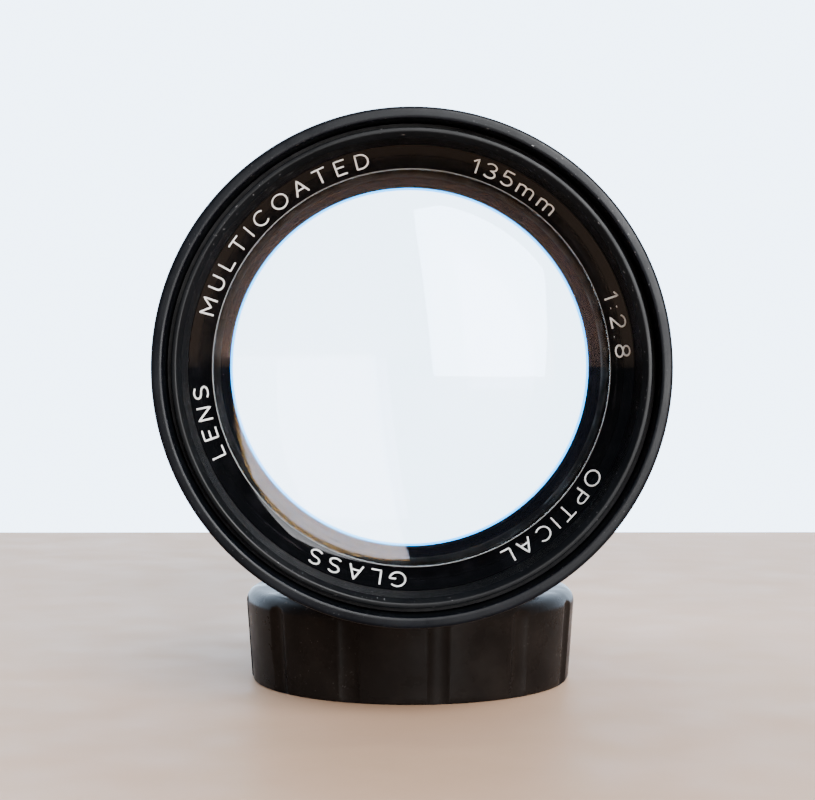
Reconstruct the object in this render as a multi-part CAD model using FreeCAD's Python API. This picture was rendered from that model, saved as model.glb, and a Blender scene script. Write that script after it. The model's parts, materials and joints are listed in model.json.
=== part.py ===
import FreeCAD, Part
import math
import os

# A 135 mm f/2.8 telephoto lens with an M42 x 1 thread mount and a built-in sliding hood,
# lying level on its own rear cap. Millimetres.
#
# Every round part is drawn in the lens's own frame: the optical axis is Z, "s" is the distance
# forward from the mount's flange face, +X is to the right and +Y is up as seen from the front.
# lay_down() then turns it into the model's frame, where +Z is up and the lens looks along -Y.
# The origin is the centre of the flange face.

V = FreeCAD.Vector
AXIS = V(0, 0, 1)
ORIGIN = V(0, 0, 0)

# ---- driving dimensions --------------------------------------------------------------------
THREAD_R = 21.0           # M42 x 1 mount thread, crest
THREAD_ROOT_R = 20.4
THREAD_LENGTH = 4.3
THROAT_R = 16.4           # hole through the mount
FLANGE_R = 27.0
FLANGE_T = 2.5
UNDERCUT = 0.15           # shallow groove in the flange face round the thread

HOUSING_R = 28.2          # fixed rear housing
HOUSING_IN_R = 25.5
HOUSING_FRONT = 18.0
COLLAR_R = 29.3           # collar behind the aperture ring, and the depth scale ring
COLLAR_FRONT = 7.6

APERTURE_R = 29.9
APERTURE_REAR, APERTURE_FRONT = 7.8, 15.4
APERTURE_TURN = 54.0      # f/2.8 to f/22, six stops of nine degrees

SKIRT_R = 28.8            # fixed skirt under the focus ring
SKIRT_IN_R = 28.1
SKIRT_FRONT = 37.3
SLEEVE_R = 26.7           # brass helicoid sleeve
SLEEVE_IN_R = 25.3
SLEEVE_FRONT = 46.0

BARREL_R = 25.2           # inner barrel, which carries the glass
BARREL_IN_R = 24.0
COLLAR_STOP_R = 26.6      # collar and ring that trap the focusing nut
BARREL_REAR, BARREL_FRONT = 12.0, 62.0
FOCUS_TRAVEL = 15.0       # from infinity to 1.5 m

RING_R = 30.0             # focus ring
RING_REAR, RING_FRONT = 22.4, 61.0
GRIP_SEAT_R = 29.2
GRIP_R = 30.3
GRIP_REAR, GRIP_FRONT = 38.6, 57.4
GRIP_RIBS = 48

SHELL_R = 28.3            # front shell, under the hood
SHOULDER_R = 30.15
RIM = 88.5                # front edge of the filter ring
FILTER_R = 27.5           # M55 x 0.75 filter thread, root of the groove
FILTER_CREST_R = 27.1
FILTER_PITCH = 0.75
NAME_RING_R = 27.05
NAME_RING_IN_R = 24.38

HOOD_R = 30.15
HOOD_LIP_R = 30.5
HOOD_LIP_IN_R = 29.15
HOOD_REAR, HOOD_FRONT = 64.3, 90.0
HOOD_TRAVEL = 18.0

BLADES = 10               # iris
BLADE_T = 0.12
BLADE_STEP = 0.2
BLADE_TOP = 43.1
BLADE_IN_R, BLADE_OUT_R = 15.9, 21.7
BLADE_END = 128.0         # angle of the blade's tip from its pivot
PIVOT_R = 22.5
PIN_R = 0.4
DRIVE_ANGLE = 15.0        # from the pivot to the drive pin, round the axis
BLADE_TURN = 36.0         # closes the opening from 31.2 mm to about 4 mm
IRIS_OPEN_R = 15.6
FORK_ANGLE = 90.0         # where the aperture fork stands when wide open

PIN_X, PIN_Y = -6.3, -17.2   # stop-down pin, in the mount's face
PIN_TRAVEL = 4.0
SWITCH_ANGLE = 196.0
SWITCH_TURN = 12.0

CAP_TOP_R = 22.9          # ribbed rear cap that the lens stands on
CAP_FOOT_R = 22.0
CAP_HEIGHT = 12.6
CAP_S = 50.5              # the cap's place under the barrel
CAP_GAP = 0.05
CAP_RIBS = 12
CAP_FIRST_RIB = -51.0     # angle of the first groove from straight ahead


# ---- helpers -------------------------------------------------------------------------------
def turned(points):
    """A solid of revolution about the optical axis from (radius, s) corners."""
    corners = [V(r, 0, s) for r, s in points]
    outline = Part.makePolygon(corners + [corners[0]])
    return Part.Face(outline).revolve(ORIGIN, AXIS, 360)


def tube(r_out, r_in, rear, front):
    return turned([(r_in, rear), (r_out, rear), (r_out, front), (r_in, front)])


def rod(radius, x, y, rear, front):
    return Part.makeCylinder(radius, front - rear, V(x, y, rear), AXIS)


def turn(shape, degrees):
    copy = shape.copy()
    copy.rotate(ORIGIN, AXIS, degrees)
    return copy


def block(r_in, r_out, width, rear, front, degrees=0.0):
    """A block whose length is radial, centred on the given angle."""
    shape = Part.makeBox(r_out - r_in, width, front - rear, V(r_in, -width / 2, rear))
    return turn(shape, degrees)


def radial_rod(radius, r_in, r_out, s, degrees):
    shape = Part.makeCylinder(radius, r_out - r_in, V(r_in, 0, s), V(1, 0, 0))
    return turn(shape, degrees)


def sector(r_in, r_out, rear, front, start, end):
    """Part of a tube between two angles."""
    face = Part.Face(Part.makePolygon([V(r_in, 0, rear), V(r_out, 0, rear), V(r_out, 0, front),
                                       V(r_in, 0, front), V(r_in, 0, rear)]))
    return turn(face.revolve(ORIGIN, AXIS, end - start), start)


def polar(radius, degrees, s=0.0):
    angle = math.radians(degrees)
    return V(radius * math.cos(angle), radius * math.sin(angle), s)


def around(count, start=0.0):
    return [start + 360.0 * i / count for i in range(count)]


def lay_down(shape):
    copy = shape.copy()
    copy.rotate(ORIGIN, V(1, 0, 0), 90)
    return copy


def set_screw(r_in, r_out, s, degrees, radius=0.6):
    """A radial grub screw with a slotted end."""
    body = radial_rod(radius, r_in, r_out, s, degrees)
    slot = block(r_out - 0.3, r_out + 0.1, 0.25, s - radius, s + radius, degrees)
    return body.cut(slot)


# ---- fixed rear end ------------------------------------------------------------------------
def lens_mount():
    """Chromed flange with the M42 thread, drawn as grooves, behind it."""
    points = [(THROAT_R, -THREAD_LENGTH), (THREAD_ROOT_R, -THREAD_LENGTH)]
    pitch, crest = 1.0, 0.3
    for i in range(4):
        s = -4.15 + pitch * i
        points += [(THREAD_R, s), (THREAD_R, s + crest), (THREAD_ROOT_R, s + crest + 0.35)]
    points += [(THREAD_ROOT_R, UNDERCUT), (THREAD_R + 0.3, UNDERCUT), (THREAD_R + 0.3, 0),
               (FLANGE_R - 0.4, 0), (FLANGE_R, 0.4)]
    points += [(FLANGE_R, FLANGE_T), (THROAT_R, FLANGE_T)]
    shape = turned(points)
    shape = shape.cut(rod(1.05, PIN_X, PIN_Y, -THREAD_LENGTH - 1, FLANGE_T + 1))
    for angle in around(4, 45):
        centre = polar(23.8, angle)
        shape = shape.cut(rod(0.85, centre.x, centre.y, -0.5, FLANGE_T + 1))
        shape = shape.cut(Part.makeCone(1.6, 0.85, 0.75, V(centre.x, centre.y, 0), AXIS))
    return shape


def mount_screws():
    screws = []
    for angle in around(4, 45):
        centre = polar(23.8, angle)
        head = Part.makeCone(1.5, 0.8, 0.7, V(centre.x, centre.y, 0.02), AXIS)
        shank = rod(0.8, centre.x, centre.y, 0.6, 4.3)
        for across in (0, 90):
            slot = Part.makeBox(1.9, 0.3, 0.4, V(-0.95, -0.15, -0.05))
            slot.rotate(ORIGIN, AXIS, across)
            slot.translate(V(centre.x, centre.y, 0.02))
            head = head.cut(slot)
        screws.append(head.fuse(shank).removeSplitter())
    return Part.makeCompound(screws)


def rear_housing():
    """Tube that everything fixed is screwed to, with windows for the fork and the switch."""
    shape = turned([(22.0, FLANGE_T), (COLLAR_R - 0.5, FLANGE_T), (COLLAR_R, FLANGE_T + 0.5),
                    (COLLAR_R, COLLAR_FRONT), (HOUSING_R, COLLAR_FRONT), (HOUSING_R, HOUSING_FRONT),
                    (SLEEVE_R, HOUSING_FRONT), (SLEEVE_R, 14.0), (HOUSING_IN_R, 14.0),
                    (HOUSING_IN_R, 4.5), (22.0, 4.5)])
    for angle in around(4, 45):
        centre = polar(23.8, angle)
        shape = shape.cut(rod(0.8, centre.x, centre.y, FLANGE_T - 1, 4.3))
    fork_room = 5.0
    shape = shape.cut(sector(HOUSING_IN_R - 1, HOUSING_R + 1, 8.8, 11.4,
                             FORK_ANGLE - fork_room, FORK_ANGLE + APERTURE_TURN + fork_room))
    shape = shape.cut(sector(HOUSING_IN_R - 0.5, COLLAR_R + 1, 4.75, 6.45,
                             SWITCH_ANGLE - 4, SWITCH_ANGLE + SWITCH_TURN + 4))
    return shape.cut(radial_rod(0.65, 26.0, HOUSING_R + 1, 13.0, 0))


def scale_ring():
    """Depth-of-field ring with the long fixed skirt that the focus ring slides over."""
    shape = turned([(HOUSING_R, 15.8), (COLLAR_R - 0.3, 15.8), (COLLAR_R, 16.1), (COLLAR_R, 21.7),
                    (COLLAR_R - 0.3, 22.0), (SKIRT_R, 22.0), (SKIRT_R, SKIRT_FRONT),
                    (SKIRT_IN_R, SKIRT_FRONT), (SKIRT_IN_R, HOUSING_FRONT),
                    (HOUSING_R, HOUSING_FRONT)])
    for angle in around(3, 30):
        shape = shape.cut(radial_rod(0.62, 28.0, COLLAR_R + 1, 17.0, angle))
    return shape


def scale_ring_screws():
    return Part.makeCompound([set_screw(HOUSING_R + 0.02, COLLAR_R - 0.05, 17.0, angle)
                              for angle in around(3, 30)])


def helicoid_sleeve():
    """Brass sleeve with the focusing thread, drawn as grooves, on its outside."""
    points = [(SLEEVE_IN_R, 14.0), (SLEEVE_R, 14.0)]
    s = 20.0
    while s < SLEEVE_FRONT - 3:
        points += [(SLEEVE_R, s), (SLEEVE_R - 0.5, s + 0.5), (SLEEVE_R - 0.5, s + 1.0),
                   (SLEEVE_R, s + 1.5)]
        s += 3.0
    points += [(SLEEVE_R, SLEEVE_FRONT), (SLEEVE_IN_R, SLEEVE_FRONT)]
    return turned(points)


KEY_ANGLES = (0.0, 180.0)
KEY_REAR, KEY_FRONT = 28.0, 34.0


def guide_keys():
    """Two keys that stop the inner barrel from turning in the sleeve."""
    keys = []
    for angle in KEY_ANGLES:
        key = block(24.15, 26.2, 2.9, KEY_REAR, KEY_FRONT, angle)
        key = key.common(tube(SLEEVE_IN_R - 0.01, 24.15, KEY_REAR, KEY_FRONT))
        for s in (29.5, 32.5):
            key = key.cut(radial_rod(0.55, 24.0, 26, s, angle))
        keys.append(key)
    return Part.makeCompound(keys)


def guide_key_screws():
    return Part.makeCompound([set_screw(24.3, 25.2, s, angle, 0.5)
                              for angle in KEY_ANGLES for s in (29.5, 32.5)])


def rear_baffle():
    """Blackened light trap in the throat of the mount."""
    return turned([(16.05, -4.1), (THROAT_R - 0.02, -4.1), (THROAT_R - 0.02, 6.0),
                   (16.05, 6.0), (16.05, 5.0), (15.75, 4.8), (15.75, 4.5), (16.05, 4.3)])


def coil(radius, wire, rear, front, turns):
    """A round-wire spring along the axis, drawn as one ring for each turn."""
    pitch = (front - rear - 2 * wire) / (turns - 1)
    return Part.makeCompound([Part.makeTorus(radius, wire, V(0, 0, rear + wire + pitch * i), AXIS)
                              for i in range(turns)])


def click_ball():
    return Part.makeSphere(0.6, V(27.55, 0, 13.0))


def click_spring():
    shape = coil(0.42, 0.09, 0.12, 0.85, 3)
    shape.rotate(ORIGIN, V(0, 1, 0), 90)
    shape.translate(V(25.99, 0, 13.0))
    return shape


def pin_bracket():
    """Plate behind which the stop-down pin's spring bears, on a post from the housing."""
    angle = math.degrees(math.atan2(PIN_Y, PIN_X))
    reach = math.hypot(PIN_X, PIN_Y)
    plate = block(reach - 1.9, 23.4, 4.4, 12.0, 13.0, angle)
    post = block(21.9, 23.4, 4.4, 4.5, 12.5, angle)
    return plate.fuse(post).removeSplitter().cut(rod(0.7, PIN_X, PIN_Y, 11.0, 14.0))


def pin_return_spring():
    shape = coil(1.0, 0.16, 8.2, 11.9, 7)
    shape.translate(V(PIN_X, PIN_Y, 0))
    return shape


# ---- pieces that the hand works at the rear end ---------------------------------------------
def aperture_ring():
    shape = turned([(HOUSING_R + 0.05, APERTURE_REAR), (APERTURE_R - 0.3, APERTURE_REAR),
                    (APERTURE_R, APERTURE_REAR + 0.3), (APERTURE_R, 11.9), (COLLAR_R, 12.2),
                    (COLLAR_R, APERTURE_FRONT), (HOUSING_R + 0.05, APERTURE_FRONT)])
    for angle in around(36, 5):
        centre = polar(APERTURE_R + 0.7, angle)
        shape = shape.cut(rod(1.15, centre.x, centre.y, APERTURE_REAR - 1, 11.6))
    shape = shape.cut(block(27.5, 29.0, 3.1, APERTURE_REAR - 1, 11.05, FORK_ANGLE))
    for step in range(7):
        centre = polar(HOUSING_R + 0.05, -step * APERTURE_TURN / 6)
        shape = shape.cut(rod(0.25, centre.x, centre.y, 12.2, 14.0))
    return shape


def aperture_fork():
    """Arm from the aperture ring, and the long bar that drives the iris."""
    arm = block(21.6, 28.9, 3.0, 9.0, 11.0, FORK_ANGLE)
    bar = block(21.6, 22.8, 3.0, 10.0, 36.4, FORK_ANGLE)
    return arm.fuse(bar).removeSplitter()


def auto_switch():
    """Automatic/manual slider in the collar behind the aperture ring."""
    shank = sector(26.2, 29.6, 4.9, 6.3, SWITCH_ANGLE - 2.4, SWITCH_ANGLE + 2.4)
    foot = sector(24.3, 25.3, 4.9, 7.4, SWITCH_ANGLE - 6.0, SWITCH_ANGLE + 6.0)
    neck = sector(25.2, 26.3, 4.9, 6.3, SWITCH_ANGLE - 2.4, SWITCH_ANGLE + 2.4)
    knob = sector(29.4, 31.0, 3.7, 7.4, SWITCH_ANGLE - 4.5, SWITCH_ANGLE + 4.5)
    for i in range(4):
        knob = knob.cut(sector(30.7, 31.2, 3.6, 7.5, SWITCH_ANGLE - 3.4 + 2.0 * i,
                               SWITCH_ANGLE - 2.6 + 2.0 * i))
    return shank.fuse([foot, neck, knob]).removeSplitter()


def stop_down_pin():
    shape = rod(1.0, PIN_X, PIN_Y, -7.2, 3.6)
    tip = Part.makeSphere(1.0, V(PIN_X, PIN_Y, -7.2))
    collar = rod(1.35, PIN_X, PIN_Y, 2.9, 3.7)
    tail = rod(0.6, PIN_X, PIN_Y, 3.6, 12.4)
    return shape.fuse([tip, collar, tail]).removeSplitter()


# ---- front barrel, which slides to focus ------------------------------------------------------
def inner_barrel():
    shape = turned([(BARREL_IN_R, BARREL_REAR), (BARREL_R, BARREL_REAR), (BARREL_R, 52.1),
                    (COLLAR_STOP_R, 52.1), (COLLAR_STOP_R, 54.0), (BARREL_R, 54.0),
                    (BARREL_R, BARREL_FRONT),
                    (BARREL_IN_R, BARREL_FRONT)])
    for angle in KEY_ANGLES:
        slot = block(BARREL_IN_R - 1, BARREL_R + 1, 3.0, BARREL_REAR - 1, KEY_FRONT + 0.5, angle)
        shape = shape.cut(slot)
    return shape


def focus_retainer():
    """Threaded ring that traps the focusing nut against the barrel's collar."""
    shape = tube(COLLAR_STOP_R, BARREL_R, 48.0, 49.9)
    for angle in (60, 240):
        shape = shape.cut(block(26.0, 27.5, 1.5, 47.5, 48.8, angle))
    return shape


def front_shell():
    """Front tube: neck on the barrel, shoulder, filter thread, drawn as grooves, and rim."""
    points = [(BARREL_R, 56.0), (27.2, 56.0), (27.2, 62.0), (SHOULDER_R - 0.3, 62.0),
              (SHOULDER_R, 62.3), (SHOULDER_R, 63.7), (SHOULDER_R - 0.3, 64.0), (SHELL_R, 64.0),
              (SHELL_R, RIM - 0.35), (SHELL_R - 0.35, RIM), (FILTER_R + 0.15, RIM)]
    s = RIM - 0.6
    for i in range(5):
        points += [(FILTER_CREST_R, s), (FILTER_CREST_R, s - 0.2), (FILTER_R, s - 0.45),
                   (FILTER_R, s - 0.55)]
        s -= FILTER_PITCH
    points += [(FILTER_CREST_R, s), (FILTER_CREST_R, 84.0), (27.6, 83.8), (27.6, 79.0),
               (26.35, 79.0), (26.35, 62.1), (BARREL_R, 62.1)]
    shape = turned(points)
    for angle in around(3, 90):
        shape = shape.cut(radial_rod(0.62, 28.0, SHOULDER_R + 1, 63.0, angle))
    return shape


def shell_screws():
    return Part.makeCompound([set_screw(28.05, SHOULDER_R - 0.1, 63.0, angle)
                              for angle in around(3, 90)])


def name_ring():
    """Conical front ring round the glass."""
    return turned([(NAME_RING_IN_R, 79.0), (NAME_RING_R, 79.0), (NAME_RING_R, 81.8),
                   (NAME_RING_IN_R, 79.12)])


def front_cell():
    """Turned tube that holds the three front elements."""
    return turned([(25.0, 78.6), (25.0, 68.4), (22.5, 68.4), (22.5, 66.15), (21.5, 66.15),
                   (21.2, 65.6), (21.2, 65.2), (20.4, 64.4), (20.4, 64.0), (19.6, 63.2),
                   (19.6, 62.8), (18.7, 61.8), (19.45, 61.8), (19.45, 50.0), (23.9, 50.0),
                   (23.9, 62.2), (26.3, 62.2), (26.3, 78.6)])


def dome(vertex, radius, r):
    """s of a spherical surface at distance r from the axis; radius > 0 bulges forward."""
    return vertex - radius + math.copysign(math.sqrt(radius * radius - r * r), radius)


def element(front, front_radius, front_clear, back, back_radius, back_clear, rim, rim_front,
            rim_back):
    """A glass element: two spherical faces, each with a flat seat, inside a ground rim."""
    def arc(vertex, radius, clear):
        return Part.Arc(V(0, 0, vertex), V(clear / 2, 0, dome(vertex, radius, clear / 2)),
                        V(clear, 0, dome(vertex, radius, clear))).toShape()
    corners = [V(front_clear, 0, dome(front, front_radius, front_clear)), V(rim, 0, rim_front),
               V(rim, 0, rim_back), V(back_clear, 0, dome(back, back_radius, back_clear))]
    edges = [arc(front, front_radius, front_clear)]
    edges += [Part.makeLine(corners[i], corners[i + 1]) for i in range(3)]
    edges += [arc(back, back_radius, back_clear), Part.makeLine(V(0, 0, back), V(0, 0, front))]
    outline = Part.Wire(Part.__sortEdges__(edges))
    return Part.Face(outline).revolve(ORIGIN, AXIS, 360)


def front_element():
    return element(83.9, 62.0, 24.7, 75.7, -350.0, 24.0, 24.95, 78.5, 76.7)


def second_element():
    return element(74.7, 38.0, 22.0, 68.5, 110.0, 21.5, 22.45, 67.4, 66.2)


def third_element():
    return element(60.5, -150.0, 18.6, 58.5, 45.0, 17.5, 19.4, 61.75, 54.96)


def fourth_element():
    return element(33.0, 400.0, 15.6, 28.5, 70.0, 15.6, 15.85, 32.6, 26.85)


def fifth_element():
    return element(28.48, 70.0, 15.6, 26.2, 150.0, 15.3, 15.85, 26.6, 25.35)


def element_spacer():
    """Ring between the first and second elements, with a stepped black inner wall."""
    points = [(22.1, 67.75), (22.45, 67.75), (22.45, 68.45), (24.9, 68.45), (24.9, 76.5),
              (24.25, 76.5)]
    steps = 8
    for i in range(steps):
        s = 76.5 - (i + 0.5) * 8.2 / steps
        r = 24.25 - (i + 1) * 1.85 / steps
        points += [(r + 0.18, s), (r, s - 0.15)]
    return turned(points)


def inner_retaining_ring():
    shape = turned([(17.45, 54.0), (18.0, 53.4), (19.4, 53.4), (19.4, 54.9), (17.45, 54.9)])
    for angle in (0, 180):
        shape = shape.cut(block(18.2, 20.0, 1.2, 53.0, 54.1, angle))
    return shape


def iris_housing():
    """Plate in front of the blades, with a hole for each pivot, and the wall round them."""
    shape = turned([(IRIS_OPEN_R, 43.2), (23.3, 43.2), (23.3, 39.5), (23.95, 39.5),
                    (23.95, 44.6), (IRIS_OPEN_R + 0.9, 44.6)])
    for angle in around(BLADES):
        centre = polar(PIVOT_R, angle)
        shape = shape.cut(rod(PIN_R + 0.05, centre.x, centre.y, 43.0, 44.3))
    return shape


TAIL_IN_R, TAIL_OUT_R = 21.6, 22.8


def iris_cover():
    """Plate behind the drive ring, with the tail's window and a neck for the rear cell."""
    shape = turned([(17.2, 33.0), (20.0, 33.0), (20.0, 38.2), (23.95, 38.2), (23.95, 39.5),
                    (16.0, 39.5), (16.0, 38.2), (17.2, 38.2)])
    return shape.cut(sector(TAIL_IN_R - 0.3, TAIL_OUT_R + 0.3, 38.0, 40.0, FORK_ANGLE - 9.5,
                            FORK_ANGLE + APERTURE_TURN + 9.5))


def rear_cell():
    shape = turned([(15.5, 38.1), (17.2, 38.1), (17.2, 24.0), (16.2, 24.0), (16.2, 25.25),
                    (15.9, 25.25), (15.9, 33.2), (15.5, 33.2)])
    return shape


def rear_retaining_ring():
    shape = turned([(15.4, 25.2), (16.2, 25.2), (16.2, 24.1), (15.7, 24.1)])
    for angle in (90, 270):
        shape = shape.cut(block(15.6, 17.0, 1.2, 23.5, 24.6, angle))
    return shape


def hood_stop_ring():
    """Ring on the shell that the hood's rear flange meets when it is pulled out."""
    return tube(29.0, SHELL_R, 84.5, 86.0)


# ---- iris --------------------------------------------------------------------------------------
def drive_pin_place(blade_turn):
    """Where a blade's drive pin stands, for the blade whose pivot is at angle 0."""
    pivot = polar(PIVOT_R, 0)
    arm = polar(PIVOT_R, DRIVE_ANGLE) - pivot
    swing = FreeCAD.Rotation(AXIS, blade_turn)
    return pivot + swing.multVec(arm)


def iris_drive_ring():
    """Ring with a cam slot for each blade and two tails that embrace the fork's bar."""
    ring = tube(23.2, 16.3, 39.6, 40.9)
    width = PIN_R + 0.12
    places = []
    parts = 24
    for i in range(parts + 1):
        share = i / parts
        place = FreeCAD.Rotation(AXIS, -APERTURE_TURN * share).multVec(
            drive_pin_place(BLADE_TURN * share))
        places.append(place)
    first, last = places[0], places[-1]
    middle = places[parts // 2]
    curve = Part.Arc(V(first.x, first.y, 39.0), V(middle.x, middle.y, 39.0),
                     V(last.x, last.y, 39.0)).toShape().Curve
    centre = curve.Center
    bow = curve.Radius
    start = math.degrees(math.atan2(first.y - centre.y, first.x - centre.x))
    end = math.degrees(math.atan2(last.y - centre.y, last.x - centre.x))
    sweep = (start - end) % 360
    slot = Part.Face(Part.makePolygon([V(bow - width, 0, 39.0), V(bow + width, 0, 39.0),
                                       V(bow + width, 0, 41.5), V(bow - width, 0, 41.5),
                                       V(bow - width, 0, 39.0)]))
    slot = slot.revolve(ORIGIN, AXIS, sweep)
    slot = turn(slot, end)
    slot.translate(V(centre.x, centre.y, 0))
    for place in (first, last):
        slot = slot.fuse(rod(width, place.x, place.y, 39.0, 41.5))
    for angle in around(BLADES):
        ring = ring.cut(turn(slot, angle))
    for side in (-1, 1):
        tail = sector(TAIL_IN_R, TAIL_OUT_R, 20.0, 39.7, FORK_ANGLE + side * 6.4 - 2.2,
                      FORK_ANGLE + side * 6.4 + 2.2)
        ring = ring.fuse(tail)
    return ring.removeSplitter()


def iris_blade(number):
    """One blade: a crescent with a lobe for its pivot pin and its drive pin."""
    rear = BLADE_TOP - BLADE_T - BLADE_STEP * number
    front = rear + BLADE_T
    crescent = sector(BLADE_IN_R, BLADE_OUT_R, rear, front, 0, BLADE_END)
    lobe = sector(BLADE_OUT_R - 1.5, PIVOT_R + 0.65, rear, front, 0, DRIVE_ANGLE)
    shape = crescent.fuse(lobe)
    tip = polar((BLADE_IN_R + BLADE_OUT_R) / 2, BLADE_END)
    pivot, drive = polar(PIVOT_R, 0), polar(PIVOT_R, DRIVE_ANGLE)
    ends = [(tip, (BLADE_OUT_R - BLADE_IN_R) / 2), (pivot, 0.65), (drive, 0.65)]
    for place, radius in ends:
        shape = shape.fuse(rod(radius, place.x, place.y, rear, front))
    shape = shape.fuse(rod(PIN_R, pivot.x, pivot.y, rear, 44.2))
    shape = shape.fuse(rod(PIN_R, drive.x, drive.y, 39.8, front))
    return turn(shape.removeSplitter(), 360.0 * number / BLADES)


# ---- focus ring ----------------------------------------------------------------------------------
def focus_helicoid_nut():
    """Threaded nut that turns on the brass sleeve and pushes the barrel along."""
    thread_r = SLEEVE_R + 0.05
    return turned([(thread_r, 25.0), (28.0, 25.0), (28.0, 52.0), (25.35, 52.0), (25.35, 50.0),
                   (thread_r, 50.0)])


def focus_ring():
    shape = turned([(28.95, RING_REAR), (RING_R - 0.25, RING_REAR), (RING_R, RING_REAR + 0.25),
                    (RING_R, 36.4), (29.6, 36.8), (29.6, 37.6), (RING_R, 38.0),
                    (RING_R, GRIP_REAR), (GRIP_SEAT_R, GRIP_REAR), (GRIP_SEAT_R, GRIP_FRONT),
                    (RING_R, GRIP_FRONT), (RING_R, RING_FRONT - 0.3),
                    (RING_R - 0.3, RING_FRONT), (28.0, RING_FRONT), (28.0, 38.0),
                    (28.95, 38.0)])
    for angle in around(3, 90):
        shape = shape.cut(radial_rod(0.62, 27.5, 30, 47.0, angle))
    return shape


def focus_ring_screws():
    return Part.makeCompound([set_screw(28.02, GRIP_SEAT_R - 0.05, 47.0, angle)
                              for angle in around(3, 90)])


def focus_grip():
    """Rubber sleeve with a waffle pattern of raised blocks."""
    points = [(GRIP_SEAT_R, GRIP_REAR + 0.1), (GRIP_R - 0.4, GRIP_REAR + 0.1)]
    rows = 6
    pitch = (GRIP_FRONT - GRIP_REAR - 0.8) / rows
    for i in range(rows):
        s = GRIP_REAR + 0.5 + pitch * i
        points += [(GRIP_R - 0.4, s), (GRIP_R, s + 0.3), (GRIP_R, s + pitch - 0.7),
                   (GRIP_R - 0.4, s + pitch - 0.4)]
    points += [(GRIP_R - 0.4, GRIP_FRONT - 0.1), (GRIP_SEAT_R, GRIP_FRONT - 0.1)]
    shape = turned(points)
    grooves = [block(GRIP_R - 0.4, GRIP_R + 1, 0.9, GRIP_REAR - 1, GRIP_FRONT + 1, angle)
               for angle in around(GRIP_RIBS)]
    return shape.cut(Part.makeCompound(grooves))


# ---- hood --------------------------------------------------------------------------------------
def hood_tube():
    return turned([(28.75, HOOD_REAR), (HOOD_R - 0.2, HOOD_REAR), (HOOD_R, HOOD_REAR + 0.2),
                   (HOOD_R, 86.0), (29.3, 86.0), (29.3, 66.3), (28.75, 66.3)])


def hood_rim():
    """Thicker front ring of the hood, with a rounded outer edge."""
    round_r = 0.9
    centre = V(HOOD_LIP_R - round_r, 0, HOOD_FRONT - round_r)
    diagonal = round_r * math.sqrt(0.5)
    arc = Part.Arc(centre + V(round_r, 0, 0), centre + V(diagonal, 0, diagonal),
                   centre + V(0, 0, round_r)).toShape()
    corners = [V(HOOD_LIP_R - round_r, 0, HOOD_FRONT), V(HOOD_LIP_IN_R + 0.25, 0, HOOD_FRONT),
               V(HOOD_LIP_IN_R, 0, HOOD_FRONT - 0.25), V(HOOD_LIP_IN_R, 0, 86.1),
               V(HOOD_LIP_R - 0.2, 0, 86.1), V(HOOD_LIP_R, 0, 86.3),
               V(HOOD_LIP_R, 0, HOOD_FRONT - round_r)]
    edges = [arc] + [Part.makeLine(corners[i], corners[i + 1]) for i in range(6)]
    return Part.Face(Part.Wire(edges)).revolve(ORIGIN, AXIS, 360)


def hood_friction_ring():
    return tube(28.74, SHELL_R + 0.05, HOOD_REAR + 0.2, 66.1)


# ---- rear cap, drawn standing mouth down in the model's own frame -----------------------------
def rear_cap():
    """Screw-on plastic cap with twelve scalloped grooves; its closed face is uppermost."""
    shoulder = 1.9
    top = 0.0
    taper = (CAP_TOP_R - CAP_FOOT_R) / CAP_HEIGHT
    side_r = CAP_TOP_R - taper * shoulder
    corner = V(CAP_TOP_R - 0.55, 0, top - 0.55)
    arc = Part.Arc(V(CAP_TOP_R - 1.9, 0, top), corner, V(side_r, 0, top - shoulder)).toShape()
    corners = [V(side_r, 0, top - shoulder), V(CAP_FOOT_R, 0, -CAP_HEIGHT + 0.3),
               V(CAP_FOOT_R - 0.3, 0, -CAP_HEIGHT), V(21.3, 0, -CAP_HEIGHT)]
    for i in range(5):
        z = -CAP_HEIGHT + 0.5 + i
        corners += [V(21.3, 0, z), V(20.55, 0, z + 0.35), V(20.55, 0, z + 0.6),
                    V(21.3, 0, z + 0.95)]
    corners += [V(21.3, 0, -6.6), V(20.0, 0, -6.6), V(20.0, 0, -2.2), V(0, 0, -2.2),
                V(0, 0, top), V(CAP_TOP_R - 1.9, 0, top)]
    edges = [arc] + [Part.makeLine(corners[i], corners[i + 1]) for i in range(len(corners) - 1)]
    shape = Part.Face(Part.Wire(edges)).revolve(ORIGIN, AXIS, 360)
    bite, groove_r = 0.5, 2.6
    for angle in around(CAP_RIBS, CAP_FIRST_RIB - 90):
        foot = polar(CAP_FOOT_R - bite + groove_r, angle, -CAP_HEIGHT - 1)
        head = polar(CAP_TOP_R - bite + groove_r, angle, -2.3)
        direction = head - foot
        groove = Part.makeCylinder(groove_r, direction.Length, foot, direction)
        groove = groove.fuse(Part.makeSphere(groove_r, head))
        shape = shape.cut(groove)
    shape.translate(V(0, -CAP_S, -GRIP_R - CAP_GAP))
    return shape


# ---- all nodes ---------------------------------------------------------------------------------
ROUND_NODES = [lens_mount, mount_screws, rear_housing, scale_ring, scale_ring_screws,
               helicoid_sleeve, guide_keys, guide_key_screws, rear_baffle, click_ball,
               click_spring, pin_bracket, pin_return_spring, aperture_ring, aperture_fork,
               auto_switch, stop_down_pin, inner_barrel, focus_retainer, front_shell,
               shell_screws, name_ring, front_cell, front_element, second_element,
               third_element, fourth_element, fifth_element, element_spacer,
               inner_retaining_ring, iris_housing, iris_cover, rear_cell, rear_retaining_ring,
               hood_stop_ring, iris_drive_ring, focus_helicoid_nut, focus_ring,
               focus_ring_screws, focus_grip, hood_tube, hood_rim, hood_friction_ring]


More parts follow.
